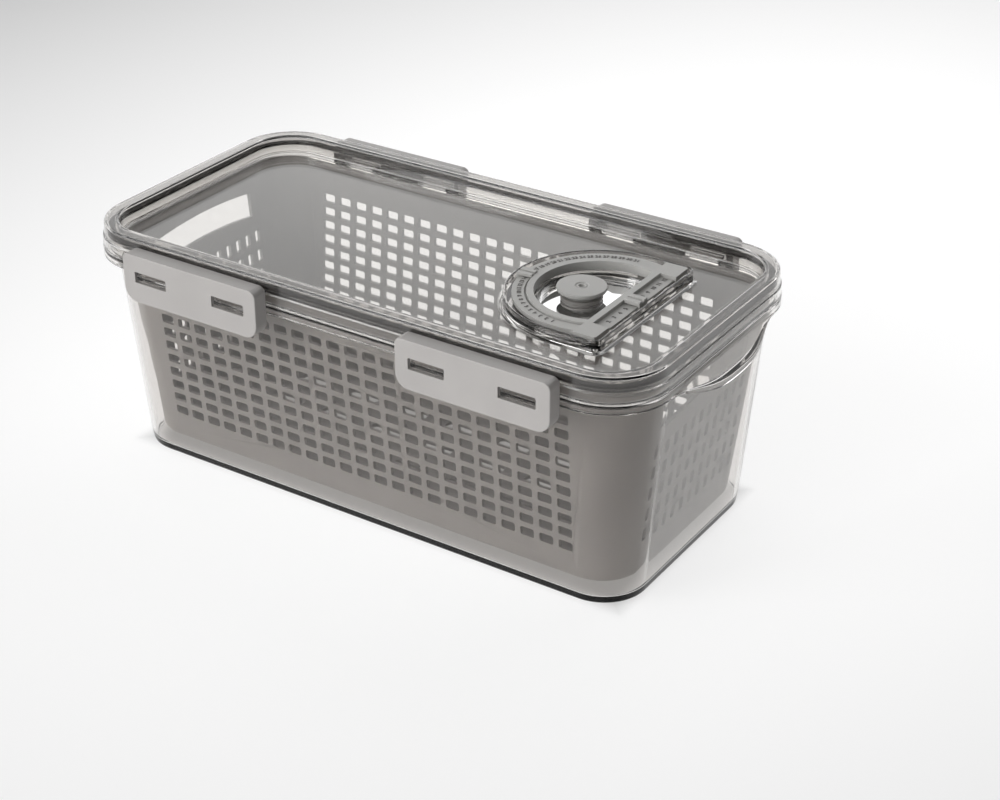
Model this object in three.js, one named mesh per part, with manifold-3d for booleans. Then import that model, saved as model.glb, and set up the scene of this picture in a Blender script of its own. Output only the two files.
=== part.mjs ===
// Fridge storage box: a clear outer box with a clamped clear lid and a lift-out drain basket.
// Millimetres, +Z up. The origin is the centre of the base: X is the length, Y is the width.
import * as THREE from 'three';
import { mergeVertices } from 'three/addons/utils/BufferGeometryUtils.js';
import Module from 'manifold-3d';

const wasm = await Module();
wasm.setup();

// Driving dimensions
const overallLength = 320;
const overallWidth = 170;
const overallHeight = 120;
const fit = 0.3;
const overrun = 5;
const mergeDistance = 1e-4;
const cornerSteps = 5;
const arcSteps = 22;

// Lid
const lidEndInset = 9.3;
const lidSideInset = 9.1;
const lidHalfLength = overallLength / 2 - lidEndInset;
const lidHalfWidth = overallWidth / 2 - lidSideInset;
const lidCornerRadius = 28.4;
const lidWall = 1.9;
const beadWidth = 7.5;
const beadRound = 1.2;
const roofThickness = 3.1;
const skirtHeight = 12;
const skirtFlare = 1.3;
const skirtStep = 0.4;
const skirtStepDrop = 6.6;
const recessDepth = 8.4;
const recessDraft = 1.1;
const panelThickness = 2;

// Gasket in the lid's channel
const gasketWidth = 3.5;
const gasketHeight = 3.9;

// Outer box
const baseEndInset = 10.3;
const baseSideInset = 12.9;
const baseHalfLength = lidHalfLength - baseEndInset;
const baseHalfWidth = lidHalfWidth - baseSideInset;
const baseCornerRadius = 21.8;
const baseEdge = 2;
const baseEdgeShares = { heel: 0.25, heelHeight: 0.33 };
const boxWall = 2.2;
const floorThickness = 2.5;
const wallTopDrop = 19.6;
const wallTopHeight = overallHeight - wallTopDrop;
const wallTopSpread = 8;
const wallTopCornerRadius = 29;
const flangeHeight = 4.5;
const rimWall = 2.4;
const rimInset = 2.2;
const shoulderHeight = 5.4;

// Pull lip on each short end of the box
const lipSideInset = 27.9;
const lipHalfWidth = lidHalfWidth - lipSideInset;
const lipDrop = 3.4;
const lipThickness = 2.2;
const lipRoot = 3;
const lipSteps = 16;

// Drain basket
const basketEndInset = 5.4;
const basketSideInset = 6;
const basketHalfLength = baseHalfLength - basketEndInset;
const basketHalfWidth = baseHalfWidth - basketSideInset;
const basketCornerRadius = 19.5;
const basketTopCornerRadius = 20.5;
const basketBottom = 7;
const basketTop = overallHeight - skirtHeight;
const basketEndDraft = 0.0935;
const basketSideDraft = 0.09;
const basketWall = 1.8;
const basketRim = 0.9;
const basketRimHeight = 2.6;
const footRadius = 5;
const footInset = 30;
const footTipShare = 0.9;
const sideHoleColumns = 23;
const sideHoleRows = 10;
const sideHoleMargins = { low: 14, high: 15.6, end: 21.4 };
const sideHoleShares = { width: 0.71, height: 0.68 };
const endSlotColumns = 8;
const endSlotRows = 4;
const endSlotMargins = { low: 17.7, high: 8.1, side: 17.1 };
const endSlotShares = { width: 0.4, height: 0.72 };
const floorSlotColumns = 7;
const floorSlotRows = 3;
const floorSlotMargins = { end: 35, side: 31 };
const floorSlotShares = { width: 0.6, height: 0.3 };
const gripSideInset = 20.6;
const gripDrop = 26;
const gripHalfWidth = basketHalfWidth - gripSideInset;
const gripLow = basketTop - gripDrop;
const gripHeight = 12.8;
const gripRise = 2.6;

// Latches, two on each long side
const latchLength = 78;
const latchHeight = 24;
const latchEndInset = 74;
const latchSpacing = 2 * (lidHalfLength - latchEndInset);
const latchTopDrop = 3;
const latchPlate = 1.65;
const latchRoofShare = 0.82;
const latchSideWall = 2.2;
const latchCorner = 7;
const latchRound = 1.5;
const latchTopCorner = 3;
const pinRadius = 0.9;
const pinSides = 8;
const boreSides = 12;
const eyeRadius = 2;
const eyeSpace = 0.25;
const armWidth = 3.2;
const armInset = 5.4;
const armTurn = { inner: Math.PI * 1.3, outer: Math.PI * 1.48 };
const ribWidth = 1.6;
const slotLength = 18.6;
const slotHeight = 5.4;
const slotSpacing = 45.6;
const slotRise = 10.3;
const catchHeight = 3.3;
const catchChamfer = 0.55;
const catchReach = 7;
const catchPlay = 0.4;
const catchSideGap = 0.8;

// Date dial in its D-shaped pocket
const dialInset = 60.9;
const dialX = lidHalfLength - dialInset;
const dialRadius = 41;
const dialBarReach = 21.5;
const dialBarX = dialX + dialBarReach;
const dialScaleWidth = 8;
const dialRailWidth = 3.2;
const dialRimWidth = 11.2;
const dialOpeningRadius = dialRadius - dialRimWidth;
const dialBaseHeight = 2.9;
const dialRailHeight = 1.7;
const dialBlockLength = 11.6;
const pocketGap = 2.4;
const pocketWall = 1.9;
const pocketTopDrop = 1.8;
const pocketFloorDrop = 7;
const pocketTop = overallHeight - pocketTopDrop;
const pocketFloorTop = overallHeight - pocketFloorDrop;
const wellInset = 2.8;
const wellRadius = dialOpeningRadius - wellInset;
const wellChordReach = 6.2;
const wellFloorDrop = 15;
const wellChordX = dialX + wellChordReach;
const wellFloorTop = overallHeight - wellFloorDrop;

// Pointers on the dial
const datePointerAngle = Math.PI * 1.025;
const pointerLength = 7;
const pointerHeight = 1.9;
const pointerGroove = 1.6;
const pointerGrooveDepth = 0.8;
const pointerSkirt = 0.9;

// Vent knob and its seal
const knobRadius = 12;
const knobGap = 5.2;
const knobX = dialX - (wellRadius - knobRadius - knobGap);
const knobTopDrop = 2.4;
const knobTop = overallHeight - knobTopDrop;
const knobDisc = 2.4;
const knobNeckRadius = 7.5;
const knobEdge = 0.6;
const knobDimpleRadius = 3.4;
const knobDimpleDepth = 0.7;
const ventTravel = 3;
const ventHoleRadius = 5;
const stemRadius = 4.4;
const stemEndHeight = 1.3;
const stemEndRadius = 5.6;
const sealRadius = 8.6;
const sealHeight = 2;

// Heights and places worked out from the sizes above
const skirtBottom = overallHeight - skirtHeight;
const channelRoof = overallHeight - roofThickness;
const panelTop = overallHeight - recessDepth;
const panelBottom = panelTop - panelThickness;
const flangeTop = skirtBottom - fit;
const flangeBottom = flangeTop - flangeHeight;
const gasketTop = channelRoof - fit;
const gasketBottom = gasketTop - gasketHeight;
const rimTop = gasketBottom - fit;
const latchTop = overallHeight - latchTopDrop;
const latchBottom = latchTop - latchHeight;
const slotLow = latchBottom + slotRise;
const latchFace = overallWidth / 2;
const latchBack = lidHalfWidth + skirtFlare + fit;
const latchRoof = latchPlate * latchRoofShare;
const hingeSpace = eyeRadius + eyeSpace;
const hingeOut = latchFace - latchPlate - hingeSpace;
const hingeHeight = latchTop - latchRoof - hingeSpace;
const hingeSweep = hingeOut - latchBack;
const armCentre = latchLength / 2 - latchSideWall - armInset + armWidth / 2;
const dialBottom = pocketFloorTop + fit;
const dialBandTop = dialBottom + dialBaseHeight;
const dialTop = dialBandTop + dialRailHeight;
const dialBandRadius = dialRadius - dialScaleWidth;
const dialRailX = dialBarX - dialScaleWidth - dialRailWidth;
const sealBottom = wellFloorTop + fit;
const sealTop = sealBottom + sealHeight;
const wellFloorBottom = wellFloorTop - lidWall;
const stemEnd = wellFloorBottom - fit - ventTravel - stemEndHeight;

// Geometry helpers
function ring(halfLength, halfWidth, radius, height) {
  const points = [];
  const corners = [[1, 1, 0], [-1, 1, 1], [-1, -1, 2], [1, -1, 3]];
  for (const [sideX, sideY, quarter] of corners) {
    for (let step = 0; step <= cornerSteps; step += 1) {
      const angle = (quarter + step / cornerSteps) * Math.PI / 2;
      const x = sideX * (halfLength - radius) + radius * Math.cos(angle);
      const y = sideY * (halfWidth - radius) + radius * Math.sin(angle);
      points.push([x, y, height]);
    }
  }
  return points;
}

function lidRing(offset, height) {
  return ring(lidHalfLength + offset, lidHalfWidth + offset, lidCornerRadius + offset, height);
}

function geometryFrom(positions, indices) {
  const geometry = new THREE.BufferGeometry();
  geometry.setAttribute('position', new THREE.Float32BufferAttribute(positions, 3));
  geometry.setIndex(indices);
  return geometry;
}

function joinRings(rings, closed) {
  const count = rings[0].length;
  const indices = [];
  const pairs = closed ? rings.length : rings.length - 1;
  for (let level = 0; level < pairs; level += 1) {
    const low = level * count;
    const high = ((level + 1) % rings.length) * count;
    for (let i = 0; i < count; i += 1) {
      const next = (i + 1) % count;
      indices.push(low + i, low + next, high + next, low + i, high + next, high + i);
    }
  }
  return indices;
}

function loft(rings) {
  const count = rings[0].length;
  const indices = joinRings(rings, false);
  const last = (rings.length - 1) * count;
  for (let i = 1; i < count - 1; i += 1) {
    indices.push(0, i + 1, i);
    indices.push(last, last + i, last + i + 1);
  }
  return geometryFrom(rings.flat(2), indices);
}

function loopLoft(rings) {
  return geometryFrom(rings.flat(2), joinRings(rings, true));
}

function solidOf(geometry) {
  const bare = geometry.clone();
  bare.deleteAttribute('normal');
  bare.deleteAttribute('uv');
  const merged = mergeVertices(bare, mergeDistance);
  const mesh = new wasm.Mesh({
    numProp: 3,
    vertProperties: new Float32Array(merged.attributes.position.array),
    triVerts: new Uint32Array(merged.index.array),
  });
  return new wasm.Manifold(mesh);
}

function geometryOf(solid) {
  const mesh = solid.getMesh();
  return geometryFrom(Array.from(mesh.vertProperties), Array.from(mesh.triVerts));
}

function shapeOf(points) {
  return new THREE.Shape(points.map(([x, y]) => new THREE.Vector2(x, y)));
}

function prism(shape, low, high, segments = arcSteps) {
  const options = { depth: high - low, bevelEnabled: false, curveSegments: segments };
  const geometry = new THREE.ExtrudeGeometry(shape, options);
  geometry.translate(0, 0, low);
  return solidOf(geometry);
}

// A prism along X from an outline in (outward, height).
function crossPrism(points, from, to) {
  const options = { depth: to - from, bevelEnabled: false, curveSegments: arcSteps };
  const geometry = new THREE.ExtrudeGeometry(shapeOf(points), options);
  const basis = new THREE.Matrix4();
  basis.makeBasis(new THREE.Vector3(0, 1, 0), new THREE.Vector3(0, 0, 1), new THREE.Vector3(1, 0, 0));
  geometry.applyMatrix4(basis);
  geometry.translate(from, 0, 0);
  return solidOf(geometry);
}

function blockGeometry(low, high) {
  const geometry = new THREE.BoxGeometry(high[0] - low[0], high[1] - low[1], high[2] - low[2]);
  geometry.translate((low[0] + high[0]) / 2, (low[1] + high[1]) / 2, (low[2] + high[2]) / 2);
  return geometry;
}

function block(low, high) {
  return solidOf(blockGeometry(low, high));
}

function blocks(list) {
  const positions = [];
  const indices = [];
  for (const [low, high] of list) {
    const geometry = blockGeometry(low, high);
    geometry.deleteAttribute('normal');
    geometry.deleteAttribute('uv');
    const merged = mergeVertices(geometry, mergeDistance);
    const first = positions.length / 3;
    positions.push(...merged.attributes.position.array);
    indices.push(...Array.from(merged.index.array, (index) => index + first));
  }
  return solidOf(geometryFrom(positions, indices));
}

function turned(points, x, y, segments) {
  const profile = points.map(([radius, height]) => new THREE.Vector2(radius, height));
  const geometry = new THREE.LatheGeometry(profile, segments);
  geometry.rotateX(Math.PI / 2);
  geometry.translate(x, y, 0);
  return solidOf(geometry);
}

function arcPoints(centre, radius, from, to, steps) {
  const points = [];
  for (let step = 0; step <= steps; step += 1) {
    const angle = from + (to - from) * step / steps;
    points.push([centre[0] + radius * Math.cos(angle), centre[1] + radius * Math.sin(angle)]);
  }
  return points;
}

function circlePoints(centre, radius, sides) {
  return arcPoints(centre, radius, 0, 2 * Math.PI * (sides - 1) / sides, sides - 1);
}

function moved(solid, x, y, turn) {
  const geometry = geometryOf(solid);
  geometry.rotateZ(turn);
  geometry.translate(x, y, 0);
  return solidOf(geometry);
}

// Outer box
function boxShell() {
  const wall = (height) => {
    const share = height / wallTopHeight;
    const spread = wallTopSpread * share;
    const radius = baseCornerRadius + (wallTopCornerRadius - baseCornerRadius) * share;
    return [baseHalfLength + spread, baseHalfWidth + spread, radius];
  };
  const inner = (height) => wall(height).map((size) => size - boxWall);
  const foot = wall(0).map((size) => size - baseEdge);
  const heel = wall(0).map((size) => size - baseEdge * baseEdgeShares.heel);
  return loft([
    ring(...foot, 0),
    ring(...heel, baseEdge * baseEdgeShares.heelHeight),
    ring(...wall(baseEdge), baseEdge),
    ring(...wall(wallTopHeight), wallTopHeight),
    lidRing(skirtFlare, flangeBottom),
    lidRing(skirtFlare, flangeTop),
    lidRing(-rimInset, flangeTop),
    lidRing(-rimInset, rimTop),
    lidRing(-rimInset - rimWall, rimTop),
    lidRing(-rimInset - rimWall, wallTopHeight + shoulderHeight),
    ring(...inner(wallTopHeight), wallTopHeight),
    ring(...inner(floorThickness + baseEdge), floorThickness + baseEdge),
    ring(...inner(floorThickness).map((size) => size - baseEdge), floorThickness),
  ]);
}

// The lip swells from the flange in plan and hangs lowest at the middle.
function pullLip() {
  const root = lidHalfLength + skirtFlare;
  const reach = overallLength / 2 - root;
  const sections = [];
  for (let step = 0; step <= lipSteps; step += 1) {
    const y = lipHalfWidth * (1 - 2 * step / lipSteps);
    const swell = (1 + Math.cos(Math.PI * y / lipHalfWidth)) / 2;
    const edge = root + reach * swell;
    const drop = flangeBottom + fit - lipDrop * swell;
    sections.push([
      [root - lipRoot, y, flangeBottom - lipThickness],
      [edge, y, drop - lipThickness],
      [edge, y, drop],
      [root - fit, y, flangeBottom + lipThickness / 2],
      [root - lipRoot, y, flangeBottom + lipThickness / 2],
    ]);
  }
  return loft(sections);
}

function catchLug(x) {
  const root = lidHalfWidth;
  const tip = root + skirtFlare + catchReach;
  const low = slotLow + catchPlay;
  const high = low + catchHeight;
  const half = slotLength / 2 - catchSideGap;
  const outline = [[root, low], [tip - catchHeight, low], [tip, low + catchChamfer], [tip, high], [root, high]];
  return crossPrism(outline, x - half, x + half);
}

function latchCentres() {
  return [-latchSpacing / 2, latchSpacing / 2];
}

function outerBox() {
  let box = solidOf(boxShell());
  for (const turn of [0, Math.PI]) {
    box = box.add(moved(solidOf(pullLip()), 0, 0, turn));
    for (const centre of latchCentres()) {
      for (const side of [-1, 1]) {
        box = box.add(moved(catchLug(centre + side * slotSpacing / 2), 0, 0, turn));
      }
    }
  }
  return geometryOf(box);
}

// Drain basket
function basketSize(height, inset) {
  const rise = height - basketBottom;
  const share = rise / (basketTop - basketBottom);
  const radius = basketCornerRadius + (basketTopCornerRadius - basketCornerRadius) * share;
  const length = basketHalfLength + basketEndDraft * rise - inset;
  const width = basketHalfWidth + basketSideDraft * rise - inset;
  return [length, width, radius - inset];
}

function basketShell() {
  const low = basketBottom;
  const inside = basketBottom + basketWall;
  const rimLow = basketTop - basketRimHeight;
  return loft([
    ring(...basketSize(low, basketWall), low),
    ring(...basketSize(low + basketWall, 0), low + basketWall),
    ring(...basketSize(rimLow, 0), rimLow),
    ring(...basketSize(rimLow, -basketRim), rimLow),
    ring(...basketSize(basketTop, -basketRim), basketTop),
    ring(...basketSize(basketTop, basketWall), basketTop),
    ring(...basketSize(inside, basketWall), inside),
  ]);
}

function grid(columns, rows, low, high, shares) {
  const cells = [];
  const pitchX = (high[0] - low[0]) / (columns - 1 + shares.width);
  const pitchZ = (high[1] - low[1]) / (rows - 1 + shares.height);
  for (let row = 0; row < rows; row += 1) {
    for (let column = 0; column < columns; column += 1) {
      const x = low[0] + column * pitchX;
      const z = low[1] + row * pitchZ;
      cells.push([x, z, x + pitchX * shares.width, z + pitchZ * shares.height]);
    }
  }
  return cells;
}

function sideHoles() {
  const halfLength = basketHalfLength - sideHoleMargins.end;
  const low = [-halfLength, basketBottom + sideHoleMargins.low];
  const high = [halfLength, basketTop - sideHoleMargins.high];
  const cells = grid(sideHoleColumns, sideHoleRows, low, high, sideHoleShares);
  const near = basketHalfWidth - overrun;
  const far = basketSize(basketTop, 0)[1] + overrun;
  const front = cells.map(([x0, z0, x1, z1]) => [[x0, -far, z0], [x1, -near, z1]]);
  const back = cells.map(([x0, z0, x1, z1]) => [[x0, near, z0], [x1, far, z1]]);
  return blocks([...front, ...back]);
}

function endSlots() {
  const halfWidth = basketHalfWidth - endSlotMargins.side;
  const low = [-halfWidth, basketBottom + endSlotMargins.low];
  const high = [halfWidth, gripLow - endSlotMargins.high];
  const cells = grid(endSlotColumns, endSlotRows, low, high, endSlotShares);
  const near = basketHalfLength - overrun;
  const far = basketSize(basketTop, 0)[0] + overrun;
  const right = cells.map(([y0, z0, y1, z1]) => [[near, y0, z0], [far, y1, z1]]);
  const left = cells.map(([y0, z0, y1, z1]) => [[-far, y0, z0], [-near, y1, z1]]);
  return blocks([...right, ...left]);
}

function floorSlots() {
  const halfLength = basketHalfLength - floorSlotMargins.end;
  const halfWidth = basketHalfWidth - floorSlotMargins.side;
  const low = [-halfLength, -halfWidth];
  const high = [halfLength, halfWidth];
  const cells = grid(floorSlotColumns, floorSlotRows, low, high, floorSlotShares);
  const top = basketBottom + basketWall + overrun;
  return blocks(cells.map(([x0, y0, x1, y1]) => [[x0, y0, basketBottom - overrun], [x1, y1, top]]));
}

// One arched opening through both end walls
function gripOpening() {
  const arch = (y, low) => low + gripRise * (1 - (y / gripHalfWidth) ** 2);
  const outline = [];
  const steps = arcSteps / 2;
  for (let step = 0; step <= steps; step += 1) {
    const y = -gripHalfWidth + 2 * gripHalfWidth * step / steps;
    outline.push([y, arch(y, gripLow)]);
  }
  for (let step = steps; step >= 0; step -= 1) {
    const y = -gripHalfWidth + 2 * gripHalfWidth * step / steps;
    outline.push([y, arch(y, gripLow + gripHeight)]);
  }
  return crossPrism(outline, -overallLength / 2, overallLength / 2);
}

function basketFeet() {
  const feet = [];
  const x = basketHalfLength - footInset;
  const y = basketHalfWidth - footInset / 2;
  const low = floorThickness + fit;
  const high = basketBottom + basketWall / 2;
  for (const sideX of [-1, 1]) {
    for (const sideY of [-1, 1]) {
      const outline = [[0, low], [footRadius * footTipShare, low], [footRadius, high], [0, high]];
      feet.push(turned(outline, sideX * x, sideY * y, arcSteps / 2));
    }
  }
  return feet;
}

function drainBasket() {
  let basket = solidOf(basketShell());
  for (const foot of basketFeet()) {
    basket = basket.add(foot);
  }
  basket = basket.subtract(gripOpening());
  basket = basket.subtract(sideHoles());
  basket = basket.subtract(endSlots());
  basket = basket.subtract(floorSlots());
  return geometryOf(basket);
}

// Lid
function lidShell() {
  const wallInset = beadWidth - lidWall;
  const stepTop = overallHeight - skirtStepDrop;
  return loft([
    lidRing(-wallInset - recessDraft - fit, panelBottom),
    lidRing(-wallInset - recessDraft, panelBottom + fit),
    lidRing(-wallInset, channelRoof),
    lidRing(-lidWall + skirtStep, channelRoof),
    lidRing(skirtFlare - lidWall, skirtBottom),
    lidRing(skirtFlare, skirtBottom),
    lidRing(skirtFlare - skirtStep, stepTop - skirtStep),
    lidRing(skirtStep, stepTop),
    lidRing(0, overallHeight - beadRound),
    lidRing(-beadRound, overallHeight),
    lidRing(-beadWidth + beadRound / 2, overallHeight),
    lidRing(-beadWidth, overallHeight - beadRound / 2),
    lidRing(-beadWidth - recessDraft, panelTop + beadRound),
    lidRing(-beadWidth - recessDraft - beadRound, panelTop),
  ]);
}

function dShape(offset) {
  const radius = dialRadius + offset;
  const shape = new THREE.Shape();
  shape.moveTo(dialBarX + offset, -radius);
  shape.lineTo(dialBarX + offset, radius);
  shape.lineTo(dialX, radius);
  shape.absarc(dialX, 0, radius, Math.PI / 2, 3 * Math.PI / 2, false);
  shape.closePath();
  return shape;
}

// A disc with its +X side cut off at a chord
function chordShape(radius, chordX) {
  const start = Math.acos((chordX - dialX) / radius);
  const shape = new THREE.Shape();
  shape.absarc(dialX, 0, radius, start, 2 * Math.PI - start, false);
  shape.closePath();
  return shape;
}

function hingeArm(x) {
  const eye = [hingeOut, hingeHeight];
  const clear = hingeSweep + fit;
  const away = (angle, radius) => [eye[0] + radius * Math.cos(angle), eye[1] + radius * Math.sin(angle)];
  const inner = away(armTurn.inner, clear);
  const outer = away(armTurn.outer, clear);
  const footLow = skirtBottom + 2 * fit;
  const root = lidHalfWidth;
  const outline = [
    [root, footLow],
    [outer[0], footLow],
    outer,
    ...arcPoints(eye, eyeRadius, armTurn.outer - 2 * Math.PI, armTurn.inner, arcSteps / 2),
    inner,
    [root, inner[1]],
  ];
  const hole = circlePoints(eye, (pinRadius + fit) / Math.cos(Math.PI / boreSides), boreSides);
  const from = x - armWidth / 2;
  const to = x + armWidth / 2;
  const bore = crossPrism(hole, from - overrun, to + overrun);
  return crossPrism(outline, from, to).subtract(bore);
}

function lid() {
  const floorLow = pocketFloorTop - lidWall;
  const top = overallHeight + overrun;
  let body = solidOf(lidShell());
  body = body.add(prism(dShape(pocketGap + pocketWall), panelBottom, pocketTop));
  body = body.subtract(prism(dShape(pocketGap), pocketFloorTop, top));
  body = body.subtract(prism(dShape(pocketGap), panelBottom - overrun, floorLow));
  const cup = chordShape(wellRadius + lidWall, wellChordX + lidWall);
  body = body.add(prism(cup, wellFloorBottom, pocketFloorTop));
  body = body.subtract(prism(chordShape(wellRadius, wellChordX), wellFloorTop, top));
  const hole = [[0, wellFloorBottom - overrun], [ventHoleRadius, wellFloorBottom - overrun],
    [ventHoleRadius, top], [0, top]];
  body = body.subtract(turned(hole, knobX, 0, arcSteps));
  for (const turn of [0, Math.PI]) {
    for (const centre of latchCentres()) {
      for (const side of [-1, 1]) {
        body = body.add(moved(hingeArm(centre + side * armCentre), 0, 0, turn));
      }
    }
  }
  return geometryOf(body);
}

function lidGasket() {
  const outer = -rimInset - rimWall / 2 + gasketWidth / 2;
  const inner = outer - gasketWidth;
  return loopLoft([
    lidRing(outer, gasketBottom),
    lidRing(outer, gasketTop),
    lidRing(inner, gasketTop),
    lidRing(inner, gasketBottom),
  ]);
}

// Latch: outline of the side cheek and of the hollow behind the face, in (outward, height)
function cheekOutline() {
  const eye = [hingeOut, hingeHeight];
  const back = hingeSweep;
  return [
    ...arcPoints([latchFace - latchRound, latchTop - latchRound], latchRound, 0, Math.PI / 2, 3),
    ...arcPoints(eye, back, Math.PI / 2, Math.PI, 5),
    [latchBack, latchBottom + latchCorner],
    [latchBack + latchRound, latchBottom + latchCorner / 2],
    [latchFace - latchPlate, latchBottom],
    [latchFace - latchRound / 2, latchBottom],
    [latchFace, latchBottom + latchRound / 2],
  ];
}

function hollowOutline() {
  const eye = [hingeOut, hingeHeight];
  const cut = Math.PI * 3 / 4;
  const far = hingeSweep + overrun;
  return [
    [latchFace - latchPlate, latchBottom - overrun],
    ...arcPoints(eye, hingeSpace, 0, cut, 5),
    [eye[0] + far * Math.cos(cut), eye[1] + far * Math.sin(cut)],
    [latchBack - overrun, latchBottom - overrun],
  ];
}

// Rounds the latch's corners as its face is seen
function faceOutline() {
  const half = latchLength / 2;
  const low = latchBottom;
  const high = latchTop + overrun;
  const radius = latchCorner;
  return [
    ...arcPoints([-half + radius, low + radius], radius, Math.PI, 1.5 * Math.PI, 4),
    ...arcPoints([half - radius, low + radius], radius, 1.5 * Math.PI, 2 * Math.PI, 4),
    [half, latchTop - latchTopCorner],
    [half - latchTopCorner, latchTop],
    [half - latchTopCorner, high],
    [-half + latchTopCorner, high],
    [-half + latchTopCorner, latchTop],
    [-half, latchTop - latchTopCorner],
  ];
}

function facePrism() {
  const depth = latchFace;
  const geometry = new THREE.ExtrudeGeometry(shapeOf(faceOutline()), { depth, bevelEnabled: false });
  geometry.rotateX(Math.PI / 2);
  geometry.translate(0, latchFace + overrun, 0);
  return solidOf(geometry);
}

function hingePin(from, to) {
  return crossPrism(circlePoints([hingeOut, hingeHeight], pinRadius, pinSides), from, to);
}

function latch() {
  const half = latchLength / 2;
  const inner = half - latchSideWall;
  const space = crossPrism(hollowOutline(), -inner, inner);
  let body = crossPrism(cheekOutline(), -half, half).subtract(space);
  for (const side of [-1, 1]) {
    const slotX = side * slotSpacing / 2;
    const low = [slotX - slotLength / 2, latchFace - latchCorner, slotLow];
    const high = [slotX + slotLength / 2, latchFace + overrun, slotLow + slotHeight];
    body = body.subtract(block(low, high));
    const ribX = side * (armCentre - armWidth / 2 - fit - ribWidth / 2);
    const ribLow = [ribX - ribWidth / 2, hingeOut - pinRadius, hingeHeight - pinRadius - fit];
    const ribHigh = [ribX + ribWidth / 2, latchFace - latchPlate / 2, latchTop - latchRoof / 2];
    body = body.add(block(ribLow, ribHigh));
    const ends = [side * (inner + latchSideWall / 2), ribX].sort((a, b) => a - b);
    body = body.add(hingePin(ends[0], ends[1]));
  }
  return body.intersect(facePrism());
}

// Date dial
function dialFrame() {
  let body = prism(dShape(0), dialBottom, dialTop);
  const opening = chordShape(dialOpeningRadius, dialRailX);
  body = body.subtract(prism(opening, dialBottom - overrun, dialTop + overrun));
  const high = dialTop + overrun;
  const sweep = prism(chordShape(dialRadius + overrun, dialRailX), dialBandTop, high);
  const core = prism(chordShape(dialBandRadius, dialRailX + dialRailWidth), dialBandTop - fit, high + fit);
  body = body.subtract(sweep.subtract(core));
  const barHalf = dialRadius - dialBlockLength;
  const barLow = [dialBarX - dialScaleWidth, -barHalf, dialBandTop];
  body = body.subtract(block(barLow, [dialBarX + overrun, barHalf, high]));
  return geometryOf(body);
}

function datePointer() {
  const turn = Math.asin(pointerLength / 2 / dialRadius);
  const inner = dialBandRadius + fit;
  const outer = dialRadius + pointerSkirt;
  const low = dialBandTop + fit;
  const high = low + pointerHeight;
  const centre = [dialX, 0];
  const sector = (near, far, spread) => shapeOf([
    ...arcPoints(centre, far, datePointerAngle - spread, datePointerAngle + spread, 4),
    ...arcPoints(centre, near, datePointerAngle + spread, datePointerAngle - spread, 4),
  ]);
  const saddle = prism(sector(inner, outer, turn), low, high);
  const skirtLow = low - pointerSkirt;
  const skirt = prism(sector(dialRadius + fit, outer, turn), skirtLow, high);
  const groove = turn * pointerGroove / pointerLength;
  const notchLow = high - pointerGrooveDepth;
  const notch = prism(sector(inner - overrun, outer + overrun, groove), notchLow, high + overrun);
  return geometryOf(saddle.add(skirt).subtract(notch));
}

function monthPointer() {
  const low = dialBandTop + fit;
  const high = low + pointerHeight;
  const inner = dialBarX - dialScaleWidth + fit;
  const outer = dialBarX + pointerSkirt;
  const half = pointerLength / 2;
  let body = block([inner, -half, low], [outer, half, high]);
  body = body.add(block([dialBarX + fit, -half, low - pointerSkirt], [outer, half, high]));
  const cutLow = [inner - overrun, -pointerGroove, high - pointerGrooveDepth];
  const cutHigh = [outer + overrun, pointerGroove, high + overrun];
  return geometryOf(body.subtract(block(cutLow, cutHigh)));
}

// Vent knob with its stem through the well's floor, and the silicone ring on the stem
function ventKnob() {
  const discLow = knobTop - knobDisc;
  const neckLow = sealTop + fit;
  const outline = [
    [0, stemEnd],
    [stemEndRadius - knobEdge, stemEnd],
    [stemEndRadius, stemEnd + stemEndHeight / 2],
    [stemRadius, stemEnd + stemEndHeight],
    [stemRadius, neckLow],
    [knobNeckRadius, neckLow],
    [knobNeckRadius, discLow],
    [knobRadius - knobEdge, discLow],
    [knobRadius, discLow + knobEdge],
    [knobRadius, knobTop - knobEdge],
    [knobRadius - knobEdge, knobTop],
    [knobDimpleRadius, knobTop],
    [knobDimpleRadius / 2, knobTop - knobDimpleDepth],
    [0, knobTop - knobDimpleDepth],
  ];
  return geometryOf(turned(outline, knobX, 0, arcSteps));
}

function ventSeal() {
  const inner = stemRadius + fit;
  const outline = [
    [inner, sealBottom],
    [sealRadius, sealBottom],
    [sealRadius, sealBottom + sealHeight / 2],
    [knobNeckRadius, sealTop],
    [inner, sealTop],
    [inner, sealBottom],
  ];
  return geometryOf(turned(outline, knobX, 0, arcSteps));
}

// Materials
function clearPlastic() {
  return new THREE.MeshStandardMaterial({ color: 0xdcdad8, roughness: 0.08, metalness: 0 });
}

function basketPlastic() {
  return new THREE.MeshStandardMaterial({ color: 0x8c8885, roughness: 0.5, metalness: 0 });
}

function latchPlastic() {
  return new THREE.MeshStandardMaterial({ color: 0xb2afad, roughness: 0.42, metalness: 0 });
}

function dialPlastic() {
  return new THREE.MeshStandardMaterial({ color: 0xb4b4b2, roughness: 0.4, metalness: 0 });
}

function clearSilicone() {
  return new THREE.MeshStandardMaterial({ color: 0x6f6c6a, roughness: 0.55, metalness: 0 });
}

function piece(name, geometry, material) {
  const flat = geometry.toNonIndexed();
  flat.computeVertexNormals();
  const mesh = new THREE.Mesh(flat, material);
  mesh.name = name;
  return mesh;
}

// Assembly
const storageBox = new THREE.Group();
storageBox.name = 'fridge_storage_box';
storageBox.add(piece('outer_box', outerBox(), clearPlastic()));
storageBox.add(piece('drain_basket', drainBasket(), basketPlastic()));
storageBox.add(piece('lid', lid(), clearPlastic()));
storageBox.add(piece('lid_gasket', lidGasket(), clearSilicone()));

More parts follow.
